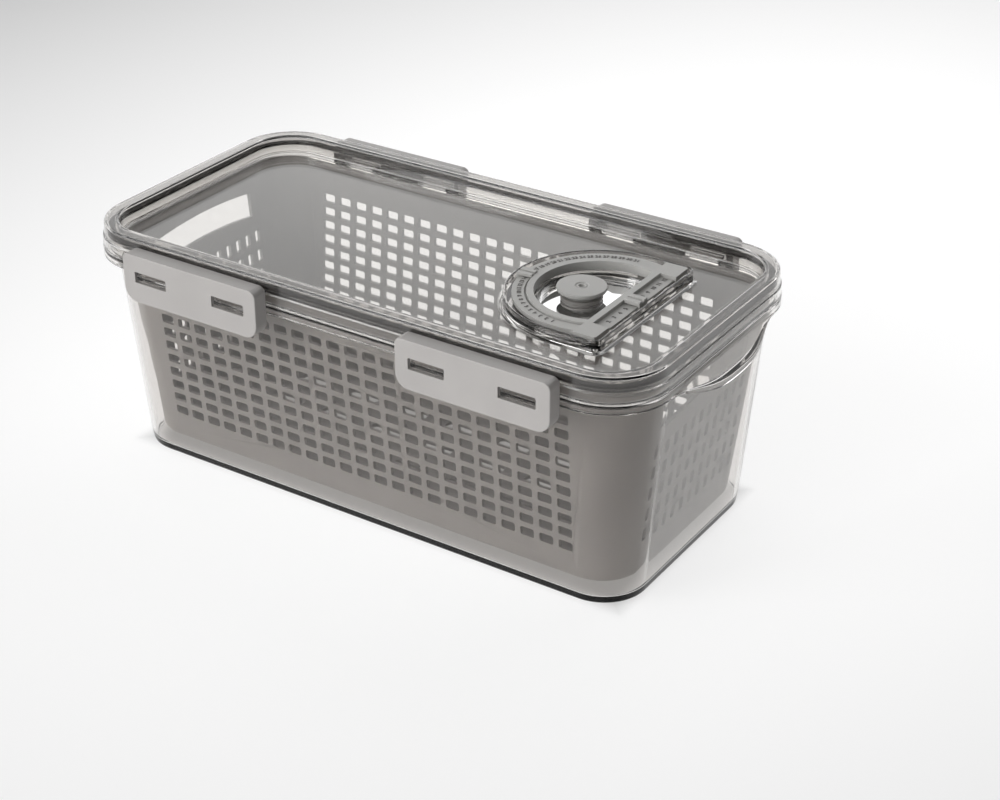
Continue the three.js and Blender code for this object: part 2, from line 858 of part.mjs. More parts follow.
const latchSolid = latch();
for (const [row, turn] of [['rear', 0], ['front', Math.PI]]) {
  for (const centre of latchCentres()) {
    const hand = centre < 0 ? 'left' : 'right';
    const holder = piece(`latch_${row}_${hand}`, geometryOf(latchSolid), latchPlastic());
    holder.rotation.z = turn;
    holder.position.x = centre;
    storageBox.add(holder);
  }
}

storageBox.add(piece('date_dial', dialFrame(), dialPlastic()));
storageBox.add(piece('date_pointer', datePointer(), dialPlastic()));
storageBox.add(piece('month_pointer', monthPointer(), dialPlastic()));
storageBox.add(piece('vent_knob', ventKnob(), dialPlastic()));
storageBox.add(piece('vent_seal', ventSeal(), clearSilicone()));

export default storageBox;
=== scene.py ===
# Fridge storage box: clear styrene box and lid, satin grey basket, latches, date dial and vent knob.
# Pieces are modelled in millimetres and brought to metres when they are finished.
import math

import bmesh
import bpy
from mathutils import Matrix, Vector


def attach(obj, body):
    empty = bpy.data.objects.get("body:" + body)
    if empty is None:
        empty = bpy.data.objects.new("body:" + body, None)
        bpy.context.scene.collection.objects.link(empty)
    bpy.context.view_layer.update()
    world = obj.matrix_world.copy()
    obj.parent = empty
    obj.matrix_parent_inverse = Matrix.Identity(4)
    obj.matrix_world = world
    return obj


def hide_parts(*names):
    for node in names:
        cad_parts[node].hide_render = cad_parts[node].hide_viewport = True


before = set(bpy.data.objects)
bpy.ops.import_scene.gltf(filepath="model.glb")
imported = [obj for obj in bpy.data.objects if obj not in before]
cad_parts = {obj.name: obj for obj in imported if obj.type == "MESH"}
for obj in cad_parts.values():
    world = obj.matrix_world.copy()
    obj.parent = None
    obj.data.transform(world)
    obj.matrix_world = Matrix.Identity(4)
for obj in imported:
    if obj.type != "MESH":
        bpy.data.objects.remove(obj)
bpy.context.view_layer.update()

MM = 0.001

# Camera: the photograph's angle, aimed at the middle of the box
AIM = Vector((50.346, -20.992, 60.0)) * MM
AZIMUTH = math.radians(33.272)
ELEVATION = math.radians(29.138)
DISTANCE = 922.59 * MM
FOCAL_SHARE = 2.020889
SENSOR = 36.0

# Lid outline and heights, mm
LID = (150.7, 75.9, 28.4)
TOP = 120.0
SKIRT_BOTTOM = 108.0
SKIRT_FLARE = 1.3
LID_WALL = 1.9
BEAD = 7.5
RECESS_DRAFT = 1.1
CHANNEL_ROOF = 118.3
PANEL_TOP = 111.6
PANEL_BOTTOM = 109.6

# Box, mm
BASE = (140.4, 63.0, 21.8)
WALL_TOP = (148.4, 71.0, 29.0)
WALL_TOP_HEIGHT = 100.4
BOX_WALL = 2.2
FLOOR = 2.5
FLANGE_TOP = 107.7
FLANGE_BOTTOM = 103.2
RIM_TOP = 113.9
RIM_INSET = 2.2
RIM_WALL = 2.4
LIP_HALF = 47.5
LIP_REACH = 8.0
LIP_DROP = 4.1
LIP_THICKNESS = 1.5
LIP_EDGE = 4.0
LIP_FULLNESS = 1.45

# Basket, mm
BASKET_BOTTOM = 7.0
BASKET_TOP = 108.0
BASKET_WALL = 1.8
BASKET_FOOT = (135.0, 57.0, 19.5)
END_DRAFT = 0.0935
SIDE_DRAFT = 0.09
CORNER_DRAFT = 0.01

# Latches, mm
LATCH_CENTRES = (-76.4, 77.6)
LATCH_LENGTH = 78.0
LATCH_BOTTOM = 93.0
LATCH_TOP = 117.0
LATCH_FACE = 85.0
LATCH_BACK = 77.5
LATCH_PLATE = 1.65
SLOT_OFFSET = 22.8
HINGE = (81.1, 113.397)
ARM_OFFSET = 33.0

# Dial and vent, mm
DIAL_X = 89.8
DIAL_RADIUS = 41.0
BAR_X = 111.3
RAIL_X = 100.1
RAIL_WIDTH = 3.2
OPENING_RADIUS = 29.8
DIAL_BOTTOM = 113.6
RING_TOP = 117.1
BAND_TOP = 116.2
FRAME_BOTTOM = 115.2
DIAL_TOP = 117.9
POCKET_GAP = 1.3
POCKET_WALL = 1.3
POCKET_TOP = 117.3
POCKET_FLOOR = 114.9
POCKET_STEP = 1.6
PLATEAU_REACH = 1.7
PLATEAU = 0.4
WELL_RADIUS = 27.0
WELL_CHORD = 96.0
WELL_FLOOR = 105.0
KNOB_X = 80.0
VENT_HOLE = 5.0
COLLAR_RADIUS = 14.5


# Camera, first of all
def camera():
    data = bpy.data.cameras.new("camera")
    data.sensor_width = SENSOR
    data.lens = FOCAL_SHARE * SENSOR
    body = bpy.data.objects.new("camera", data)
    bpy.context.collection.objects.link(body)
    back = Vector((math.sin(AZIMUTH) * math.cos(ELEVATION), -math.cos(AZIMUTH) * math.cos(ELEVATION),
                   math.sin(ELEVATION)))
    body.location = AIM + back * DISTANCE
    body.rotation_euler = back.to_track_quat("Z", "Y").to_euler()
    bpy.context.scene.camera = body


camera()


# Small tools for modelling
def rest():
    """Leaves edit mode with nothing selected."""
    if bpy.context.object and bpy.context.object.mode != "OBJECT":
        bpy.ops.object.mode_set(mode="OBJECT")
    bpy.ops.object.select_all(action="DESELECT")


def only(piece):
    rest()
    piece.select_set(True)
    bpy.context.view_layer.objects.active = piece


def edit(piece, kind="VERT"):
    only(piece)
    bpy.ops.object.mode_set(mode="EDIT")
    bpy.ops.mesh.select_mode(type=kind)
    bpy.ops.mesh.select_all(action="DESELECT")


def pick(piece, kind, test):
    """Selects the vertices, edges or faces whose middle passes the test."""
    mesh = bmesh.from_edit_mesh(piece.data)
    if kind == "VERT":
        for vertex in mesh.verts:
            vertex.select_set(test(vertex.co))
    elif kind == "EDGE":
        for edge in mesh.edges:
            edge.select_set(test((edge.verts[0].co + edge.verts[1].co) / 2))
    else:
        for face in mesh.faces:
            face.select_set(test(face.calc_center_median()))
    bmesh.update_edit_mesh(piece.data)


def apply_place(piece):
    only(piece)
    bpy.ops.object.transform_apply(location=True, rotation=True, scale=True)


def modifier(piece, kind, **settings):
    only(piece)
    added = piece.modifiers.new(kind.lower(), kind)
    for key, value in settings.items():
        setattr(added, key, value)
    bpy.ops.object.modifier_apply(modifier=added.name)


def join(name, parts):
    only(parts[0])
    for part in parts:
        part.select_set(True)
    if len(parts) > 1:
        bpy.ops.object.join()
    body = bpy.context.object
    body.name = name
    body.data.name = name
    return body


def copy_of(piece, move=(0, 0, 0), turn=0.0, mirror=(1, 1, 1)):
    """A copy with its own mesh, mirrored, turned about Z and moved."""
    twin = piece.copy()
    twin.data = piece.data.copy()
    bpy.context.collection.objects.link(twin)
    change = Matrix.Translation(move) @ Matrix.Rotation(turn, 4, "Z") @ Matrix.Diagonal((*mirror, 1))
    twin.data.transform(change)
    if mirror[0] * mirror[1] * mirror[2] < 0:
        twin.data.flip_normals()
    return twin


def outline(size, height, short_cuts=0):
    """A rounded rectangle of edges: a plane with its corners bevelled and its face taken away."""
    half_x, half_y, radius = size
    rest()
    bpy.ops.mesh.primitive_plane_add(size=2, location=(0, 0, height))
    loop = bpy.context.object
    loop.scale = (half_x, half_y, 1)
    apply_place(loop)
    edit(loop)
    bpy.ops.mesh.select_all(action="SELECT")
    bpy.ops.mesh.bevel(affect="VERTICES", offset=radius, segments=CORNER_STEPS)
    bpy.ops.mesh.delete(type="ONLY_FACE")
    if short_cuts:
        bpy.ops.mesh.select_mode(type="EDGE")
        pick(loop, "EDGE", lambda p: abs(p.y) < 0.1)
        bpy.ops.mesh.subdivide(number_cuts=short_cuts)
    rest()
    return loop


CORNER_STEPS = 14


def lid_outline(offset, height, short_cuts=0):
    return outline([size + offset for size in LID], height, short_cuts)


def circle(x, radius, height, steps=72):
    rest()
    bpy.ops.mesh.primitive_circle_add(vertices=steps, radius=radius, location=(x, 0, height))
    loop = bpy.context.object
    apply_place(loop)
    return loop


def close_ends(loop, side_x):
    """Joins the two open ends that lie furthest along X with an edge."""
    edit(loop)
    pick(loop, "VERT", lambda p: p.x > side_x - 0.01)
    bpy.ops.mesh.edge_face_add()
    rest()


def d_outline(offset, height, steps=96):
    """The dial's outline: a half circle drawn out to a straight bar."""
    loop = circle(DIAL_X, DIAL_RADIUS + offset, height, steps)
    edit(loop)
    pick(loop, "VERT", lambda p: p.x > DIAL_X + 0.01)
    bpy.ops.mesh.delete(type="VERT")
    pick(loop, "VERT", lambda p: p.x > DIAL_X - 0.01)
    reach = BAR_X + offset - DIAL_X
    bpy.ops.mesh.extrude_region_move(TRANSFORM_OT_translate={"value": (reach, 0, 0)})
    bpy.ops.mesh.edge_face_add()
    pick(loop, "VERT", lambda p: p.x > BAR_X + offset - 0.01)
    bpy.ops.mesh.bevel(affect="VERTICES", offset=1.2 + offset, segments=6)
    rest()
    return loop


def chord_outline(radius, chord, height, steps=96):
    """A circle about the dial's centre with its bar side cut straight."""
    loop = circle(DIAL_X, radius, height, steps)
    edit(loop)
    bpy.ops.mesh.select_all(action="SELECT")
    bpy.ops.mesh.bisect(plane_co=(chord, 0, 0), plane_no=(1, 0, 0), clear_outer=True)
    rest()
    close_ends(loop, chord)
    return loop


def loft(name, loops, closed=False, caps=(True, True), fills=()):
    """Bridges edge loops in turn. Pairs of loops in fills lie in one plane and are filled instead."""
    for number, loop in enumerate(loops):
        group = loop.vertex_groups.new(name=f"loop_{number:03d}")
        group.add(range(len(loop.data.vertices)), 1.0, "REPLACE")
    body = join(name, loops)
    edit(body)

    def choose(numbers):
        bpy.ops.mesh.select_all(action="DESELECT")
        for number in numbers:
            body.vertex_groups.active_index = body.vertex_groups[f"loop_{number:03d}"].index
            bpy.ops.object.vertex_group_select()

    last = len(loops) - 1
    pairs = [(number, number + 1) for number in range(last)] + ([(last, 0)] if closed else [])
    for pair in pairs:
        choose(pair)
        if pair in fills:
            bpy.ops.mesh.fill(use_beauty=True)
        else:
            bpy.ops.mesh.bridge_edge_loops()
    if not closed:
        for end, wanted in zip((0, last), caps):
            if wanted:
                choose([end])
                bpy.ops.mesh.edge_face_add()
    bpy.ops.mesh.select_all(action="SELECT")
    bpy.ops.mesh.normals_make_consistent(inside=False)
    rest()
    body.vertex_groups.clear()
    return body


def block(low, high, corner=0.0, steps=2, kind=None):
    """A box between two corners with its edges bevelled."""
    rest()
    middle = [(a + b) / 2 for a, b in zip(low, high)]
    bpy.ops.mesh.primitive_cube_add(size=1, location=middle)
    piece = bpy.context.object
    piece.scale = [b - a for a, b in zip(low, high)]
    apply_place(piece)
    if corner:
        edit(piece, "EDGE")
        if kind is None:
            bpy.ops.mesh.select_all(action="SELECT")
        else:
            pick(piece, "EDGE", kind)
        bpy.ops.mesh.bevel(affect="EDGES", offset=corner, segments=steps)
        rest()
    return piece


def cut(body, tool, how="DIFFERENCE"):
    modifier(body, "BOOLEAN", operation=how, object=tool, solver="MANIFOLD")
    bpy.data.objects.remove(tool, do_unlink=True)
    return body


def soften(piece, width, steps=2, angle=35.0):
    """Rounds the sharp edges, then lets the flat faces keep flat normals."""
    modifier(piece, "BEVEL", width=width, segments=steps, limit_method="ANGLE",
             angle_limit=math.radians(angle), miter_outer="MITER_ARC")
    shade(piece, 60.0)
    return piece


def shade(piece, angle=30.0):
    only(piece)
    bpy.ops.object.shade_smooth_by_angle(angle=math.radians(angle))
    modifier(piece, "WEIGHTED_NORMAL", keep_sharp=True, weight=60)


def finish_piece(piece, name, body, slot, material, *nodes):
    rest()
    piece.name = name
    piece.data.name = name
    piece.data.transform(Matrix.Scale(MM, 4))
    piece.data.materials.clear()
    piece.data.materials.append(material)
    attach(piece, body)
    if nodes:
        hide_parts(*nodes)
    return piece


# Materials
def linear(code):
    """An sRGB hex colour as linear values."""
    parts = [int(code[i:i + 2], 16) / 255 for i in (1, 3, 5)]
    return [p / 12.92 if p <= 0.04045 else ((p + 0.055) / 1.055) ** 2.4 for p in parts] + [1.0]


def add(tree, kind, settings=(), links=()):
    """Adds a node, sets its inputs or properties and links (socket, source node, source socket)."""
    made = tree.nodes.new(kind)
    for key, value in dict(settings).items():
        if key in made.inputs:
            made.inputs[key].default_value = value
        else:
            setattr(made, key, value)
    for socket, source, output in links:
        tree.links.new(source.outputs[output], made.inputs[socket])
    return made


def new_material(name, **settings):
    material = bpy.data.materials.new(name)
    material.use_nodes = True
    shader = material.node_tree.nodes["Principled BSDF"]
    for key, value in settings.items():
        shader.inputs[key.replace("_", " ")].default_value = value
    return material, material.node_tree, shader


def moulded_plastic(name, light, dark, roughness, grain_mm, depth):
    """Satin polypropylene from a fine-textured mould: soft sheen, faint cloudiness in the colour."""
    material, tree, shader = new_material(name, IOR=1.49)
    place = add(tree, "ShaderNodeTexCoord")
    cloud = add(tree, "ShaderNodeTexNoise", {"Scale": 1 / (22 * MM), "Detail": 3.0}, [("Vector", place, "Object")])
    ramp = add(tree, "ShaderNodeValToRGB", (), [("Fac", cloud, "Fac")])
    ramp.color_ramp.elements[0].position = 0.3
    ramp.color_ramp.elements[0].color = linear(dark)
    ramp.color_ramp.elements[1].position = 0.7
    ramp.color_ramp.elements[1].color = linear(light)
    tree.links.new(ramp.outputs["Color"], shader.inputs["Base Color"])
    grain = add(tree, "ShaderNodeTexNoise", {"Scale": 1 / (grain_mm * MM), "Detail": 2.0}, [("Vector", place, "Object")])
    sheen = add(tree, "ShaderNodeMapRange", {"To Min": roughness - 0.05, "To Max": roughness + 0.05},
                [("Value", grain, "Fac")])
    tree.links.new(sheen.outputs["Result"], shader.inputs["Roughness"])
    bump = add(tree, "ShaderNodeBump", {"Strength": 0.25, "Distance": depth * MM}, [("Height", grain, "Fac")])
    tree.links.new(bump.outputs["Normal"], shader.inputs["Normal"])
    return material


def clear_styrene(name, tint, upper_tint, roughness, glare):
    """Clear styrene acrylonitrile from a polished mould: glass-like, a darker tint above the panel's height, slight
    flow marks.
    """
    material, tree, shader = new_material(name, IOR=1.57, Transmission_Weight=1.0)
    shader.inputs["Specular Tint"].default_value = (glare, glare, glare, 1)
    place = add(tree, "ShaderNodeTexCoord")
    split = add(tree, "ShaderNodeSeparateXYZ", (), [("Vector", place, "Object")])
    # The tint changes to the darker one between 1 and 3 mm above the panel's height
    height = add(tree, "ShaderNodeMapRange", {"From Min": (PANEL_TOP + 1) * MM, "From Max": (PANEL_TOP + 3) * MM},
                 [("Value", split, "Z")])
    colour = add(tree, "ShaderNodeMix", {"data_type": "RGBA"}, [("Factor", height, "Result")])
    colour.inputs[6].default_value = linear(tint)
    colour.inputs[7].default_value = linear(upper_tint)
    tree.links.new(colour.outputs[2], shader.inputs["Base Color"])
    flow = add(tree, "ShaderNodeTexNoise", {"Scale": 1 / (35 * MM), "Detail": 1.0}, [("Vector", place, "Object")])
    sheen = add(tree, "ShaderNodeMapRange", {"To Min": roughness * 0.6, "To Max": roughness * 1.4},
                [("Value", flow, "Fac")])
    tree.links.new(sheen.outputs["Result"], shader.inputs["Roughness"])
    bump = add(tree, "ShaderNodeBump", {"Strength": 0.15, "Distance": 0.1 * MM}, [("Height", flow, "Fac")])
    tree.links.new(bump.outputs["Normal"], shader.inputs["Normal"])
    return material


CLEAR_BOX = clear_styrene("clear_styrene_box", "#EFEDEB", "#E6E4E2", 0.02, 0.3)
CLEAR_LID = clear_styrene("clear_styrene_lid", "#F4F3F1", "#D8D6D4", 0.02, 0.9)
BASKET_GREY = moulded_plastic("basket_polypropylene", "#ABA7A4", "#A4A09D", 0.42, 0.5, 0.03)
LATCH_GREY = moulded_plastic("latch_polypropylene", "#A09D9B", "#9B9896", 0.32, 0.5, 0.03)
DIAL_GREY = moulded_plastic("dial_abs", "#A8A7A4", "#A3A29F", 0.34, 0.4, 0.02)
SILICONE = moulded_plastic("seal_silicone", "#403D3B", "#3A3836", 0.5, 0.3, 0.02)
# Grey silicone of the vent seal, kept darker as painted shade under the knob
SEAL_GREY_AND_SHADE = moulded_plastic("vent_silicone_and_painted_shade", "#8E8B88", "#888582", 0.45, 0.3, 0.02)
# The raised numbers are the dial's own plastic; their darker grey is painted shade
NUMBER_PAINTED_SHADE = moulded_plastic("number_painted_shade", "#62605E", "#5C5A58", 0.45, 0.4, 0.01)


# Shapes drawn point by point, as an outline to extrude or spin
def chain(points, close=False):
    """A run of joined vertices, drawn by extruding the last one to each next point."""
    rest()
    bpy.ops.mesh.primitive_plane_add(size=1, location=(0, 0, 0))
    run = bpy.context.object
    edit(run)
    bpy.ops.mesh.select_all(action="SELECT")
    bpy.ops.mesh.merge(type="CENTER")
    bpy.ops.mesh.select_all(action="SELECT")
    bpy.ops.transform.translate(value=points[0])
    for here, there in zip(points, points[1:]):
        step = Vector(there) - Vector(here)
        bpy.ops.mesh.extrude_vertices_move(TRANSFORM_OT_translate={"value": step})
    if close:
        bpy.ops.mesh.select_all(action="SELECT")
        bpy.ops.mesh.edge_face_add()
    rest()
    return run


def prism(points, way):
    """A flat outline filled and extruded."""
    body = chain(points, close=True)
    edit(body, "FACE")
    bpy.ops.mesh.select_all(action="SELECT")
    bpy.ops.mesh.extrude_region_move(TRANSFORM_OT_translate={"value": way})
    bpy.ops.mesh.select_all(action="SELECT")
    bpy.ops.mesh.normals_make_consistent(inside=False)
    rest()
    return body


def across(points, start, end):
    """A prism along X from an outline in (outward, height)."""
    return prism([(start, y, z) for y, z in points], (end - start, 0, 0))


def turned(profile, x, steps=64):
    """A profile of (radius, height) spun about an upright axis at x."""
    body = chain([(x + radius, 0, z) for radius, z in profile])
    edit(body)
    bpy.ops.mesh.select_all(action="SELECT")
    bpy.ops.mesh.spin(steps=steps, angle=math.tau, center=(x, 0, 0), axis=(0, 0, 1))
    bpy.ops.mesh.select_all(action="SELECT")
    bpy.ops.mesh.remove_doubles(threshold=0.001)
    bpy.ops.mesh.normals_make_consistent(inside=False)
    rest()
    return body


def arc(middle, radius, start, end, steps):
    return [(middle[0] + radius * math.cos(start + (end - start) * step / steps),
             middle[1] + radius * math.sin(start + (end - start) * step / steps)) for step in range(steps + 1)]


def filled_prism(loop, height):
    """Fills a flat loop and extrudes it upwards."""
    edit(loop)
    bpy.ops.mesh.select_all(action="SELECT")
    bpy.ops.mesh.edge_face_add()
    bpy.ops.mesh.extrude_region_move(TRANSFORM_OT_translate={"value": (0, 0, height)})
    bpy.ops.mesh.select_all(action="SELECT")
    bpy.ops.mesh.normals_make_consistent(inside=False)
    rest()
    return loop


def rounded_rings(points, steps=3):
    """Rounds a run of rings (half length, half width, corner radius, height, reach) where reach is set."""
    rounded = []
    for number, point in enumerate(points):
        ring = Vector(point[:4])
        reach = point[4] if len(point) > 4 else 0
        if not reach or number in (0, len(points) - 1):
            rounded.append(tuple(ring))
            continue
        before = Vector(points[number - 1][:4]) - ring
        after = Vector(points[number + 1][:4]) - ring
        legs = [math.hypot(leg[0], leg[3]) for leg in (before, after)]
        start = ring + before * min(reach / legs[0], 0.48)
        end = ring + after * min(reach / legs[1], 0.48)
        for step in range(steps + 1):
            share = step / steps
            rounded.append(tuple(start * (1 - share) ** 2 + ring * 2 * share * (1 - share) + end * share ** 2))
    return rounded


def lid_ring(offset, height, reach=0):
    return (LID[0] + offset, LID[1] + offset, LID[2] + offset, height, reach)


# Outer box
LIP_STEPS = 20


def wall_ring(height, inset=0.0, reach=0):
    share = height / WALL_TOP_HEIGHT
    size = [low + (high - low) * share - inset for low, high in zip(BASE, WALL_TOP)]
    return (*size, height, reach)


def at(ring, height):
    return (*ring[:3], height, *ring[4:])


def lip_loop(ring, lip_share, drop):
    """A flange ring whose short ends swell out and hang down into the pull lips."""
    loop = outline(ring[:3], ring[3], LIP_STEPS)
    for vertex in loop.data.vertices:
        place = vertex.co
        if abs(place.y) < LIP_HALF:
            swell = (1 + math.cos(math.pi * (abs(place.y) / LIP_HALF) ** LIP_FULLNESS)) / 2
            place.x += math.copysign(LIP_REACH * lip_share * swell, place.x)
            place.z -= drop * swell
    return loop


def outer_box():
    foot = [at(wall_ring(0, 3.0), 0), at(wall_ring(0, 0.4, 1.2), 0), wall_ring(6.0)]
    below = foot + [at(wall_ring(WALL_TOP_HEIGHT, 0, 0.8), WALL_TOP_HEIGHT), (149.5, 72.6, 28.6, 104.4, 0.8),
                    (149.8, 73.4, 28.4, 105.7, 0.6), (150.3, 75.0, 28.4, 105.6, 0.6), (150.4, 75.4, 28.4, 103.3)]
    loops = [outline(ring[:3], ring[3], LIP_STEPS) for ring in rounded_rings(below)]
    edge = LIP_DROP + LIP_EDGE - 0.9
    for offset, height, share, drop in (
            (0.1, 103.2, 0.72, LIP_DROP * 0.75 + LIP_THICKNESS - 1.0), (0.3, 103.2, 0.74, edge - 0.3), (0.4, 103.2, 0.77, edge),
            (SKIRT_FLARE - 0.15, 103.2, 0.95, edge), (SKIRT_FLARE, 103.4, 0.99, edge - 0.5),
            (SKIRT_FLARE, 103.9, 0.99, LIP_DROP + 0.5), (SKIRT_FLARE - 0.15, 104.1, 0.95, LIP_DROP),
            (SKIRT_FLARE, 104.4, 0.0, 0.0)):
        loops.append(lip_loop(lid_ring(offset, height), share, drop))
    above = [lid_ring(SKIRT_FLARE, 104.5), lid_ring(SKIRT_FLARE, FLANGE_TOP, 0.4), lid_ring(-RIM_INSET, FLANGE_TOP, 0.3),
             lid_ring(-RIM_INSET, RIM_TOP, 0.5), lid_ring(-RIM_INSET - RIM_WALL, RIM_TOP, 0.5),
             lid_ring(-RIM_INSET - RIM_WALL, 105.8, 1.5), at(wall_ring(WALL_TOP_HEIGHT, BOX_WALL, 1.5), WALL_TOP_HEIGHT),
             at(wall_ring(FLOOR, BOX_WALL, 2.6), FLOOR), at(wall_ring(FLOOR, BOX_WALL + 8), FLOOR)]
    loops += [outline(ring[:3], ring[3], LIP_STEPS) for ring in rounded_rings(above, 4)]
    shell = loft("outer_box", loops)
    lugs = []
    for centre in LATCH_CENTRES:
        for side in (-1, 1):
            x = centre + side * SLOT_OFFSET
            for turn in (-1, 1):
                lug = across([(76.4, 103.7), (80.9, 103.7), (84.2, 104.25), (84.2, 107.0), (76.4, 107.0)], x - 8.5, x + 8.5)
                lugs.append(copy_of(lug, mirror=(1, turn, 1)))
                bpy.data.objects.remove(lug, do_unlink=True)
    cut(shell, join("lugs", lugs), "UNION")
    shade(shell, 40)
    return finish_piece(shell, "clear_box", "box", "clear_plastic", CLEAR_BOX, "outer_box")


# Basket
HOLE_COLUMNS, HOLE_ROWS = 23, 10
HOLE = (7.1, 4.6)
HOLE_PITCH = (10.0, 7.376)
HOLE_LOW = 23.5
SLOT_COLUMNS, SLOT_ROWS = 11, 5
END_SLOT = (3.4, 6.6)
END_SLOT_PITCH = (7.64, 10.65)
END_SLOT_LOW = 28.0
FLOOR_SLOT = (18.2, 6.8)
FLOOR_PITCH = (30.3, 22.6)
FOOT_PLACE = (105.0, 42.0)
GRIP_HALF = 36.4
GRIP_LOW = 82.0
GRIP_HEIGHT = 12.8
GRIP_RISE = 2.6


def basket_ring(height, offset=0.0, reach=0):
    up = height - BASKET_BOTTOM
    drafts = (END_DRAFT, SIDE_DRAFT, CORNER_DRAFT)
    return (*(size + draft * up + offset for size, draft in zip(BASKET_FOOT, drafts)), height, reach)


def hole_tool(size, corner, low, high, axis):
    """One rounded cutting bar along X, Y or Z."""
    reach = (high - low) / 2
    half = {"X": (reach, size[0] / 2, size[1] / 2), "Y": (size[0] / 2, reach, size[1] / 2),
            "Z": (size[0] / 2, size[1] / 2, reach)}[axis]
    which = "XYZ".index(axis)
    along = lambda p: abs(p[which]) < 0.01
    return block([-h for h in half], half, corner, 2, along)


def array(tool, number, step):
    modifier(tool, "ARRAY", count=number, use_relative_offset=False, use_constant_offset=True,
             constant_offset_displace=step)
    return tool


def drain_basket():
    wall = BASKET_WALL
    rings = [basket_ring(BASKET_BOTTOM, -12), basket_ring(BASKET_BOTTOM, 0, 3.2), basket_ring(105.4, 0, 0.3),
             basket_ring(105.4, 0.9, 0.25), basket_ring(BASKET_TOP, 0.9, 0.6), basket_ring(BASKET_TOP, -wall, 0.6),
             basket_ring(BASKET_BOTTOM + wall, -wall, 2.4), basket_ring(BASKET_BOTTOM + wall, -12)]
    rings = rounded_rings(rings, 4)
    flat = [(low, low + 1) for low in range(len(rings) - 1) if abs(rings[low][3] - rings[low + 1][3]) < 0.001]
    shell = loft("drain_basket", [outline(ring[:3], ring[3]) for ring in rings], fills=flat)
    feet = [turned([(0, 2.9), (4.2, 2.9), (4.5, 3.2), (5.0, 7.4), (0, 7.4)], 0, 32)]
    feet = [copy_of(feet[0], (x, y, 0)) for x in (-FOOT_PLACE[0], FOOT_PLACE[0])
            for y in (-FOOT_PLACE[1], FOOT_PLACE[1])] + feet
    bpy.data.objects.remove(feet.pop(), do_unlink=True)
    side = array(array(hole_tool(HOLE, 0.9, -90, 90, "Y"), HOLE_COLUMNS, (HOLE_PITCH[0], 0, 0)), HOLE_ROWS,
                 (0, 0, HOLE_PITCH[1]))
    side.data.transform(Matrix.Translation((-HOLE_PITCH[0] * (HOLE_COLUMNS - 1) / 2, 0, HOLE_LOW)))
    end = array(array(hole_tool(END_SLOT, 0.9, -160, 160, "X"), SLOT_COLUMNS, (0, END_SLOT_PITCH[0], 0)), SLOT_ROWS,
                (0, 0, END_SLOT_PITCH[1]))
    end.data.transform(Matrix.Translation((0, -END_SLOT_PITCH[0] * (SLOT_COLUMNS - 1) / 2, END_SLOT_LOW)))
    floor = array(array(hole_tool(FLOOR_SLOT, 2.0, -4, 4, "Z"), 7, (FLOOR_PITCH[0], 0, 0)), 3, (0, FLOOR_PITCH[1], 0))
    floor.data.transform(Matrix.Translation((-3 * FLOOR_PITCH[0], -FLOOR_PITCH[1], BASKET_BOTTOM + 1)))
    rise = lambda y: GRIP_RISE * (1 - (y / GRIP_HALF) ** 2)
    steps = [-GRIP_HALF + GRIP_HALF * step / 12 for step in range(25)]
    lower = [(-160, y, GRIP_LOW + rise(y)) for y in steps]
    upper = [(-160, y, GRIP_LOW + GRIP_HEIGHT + rise(y)) for y in reversed(steps)]
    grip = prism(lower + upper, (320, 0, 0))
    for tool in (floor, grip, side, end):
        cut(shell, tool)
    cut(shell, join("feet", feet), "UNION")
    modifier(shell, "BEVEL", width=0.5, segments=1, limit_method="ANGLE", angle_limit=math.radians(60))
    shade(shell, 50)
    return finish_piece(shell, "basket", "basket", "basket_grey", BASKET_GREY, "drain_basket")


# Lid
def hinge_arm(x):
    eye_y, eye_z = HINGE
    arm = across([(75.4, 108.6), (80.8, 108.6), (80.8, 109.4), *arc(HINGE, 2.0, math.radians(-90), math.radians(234), 20),
                  (78.85, 110.1), (75.4, 110.1)], x - 1.6, x + 1.6)
    bore = across(arc((eye_y, eye_z), 1.25, 0, math.tau * 23 / 24, 23), x - 3, x + 3)
    return cut(arm, bore)


def lid_rounded(points, steps=3):
    return [outline(ring[:3], ring[3]) for ring in rounded_rings([lid_ring(*point) for point in points], steps)]


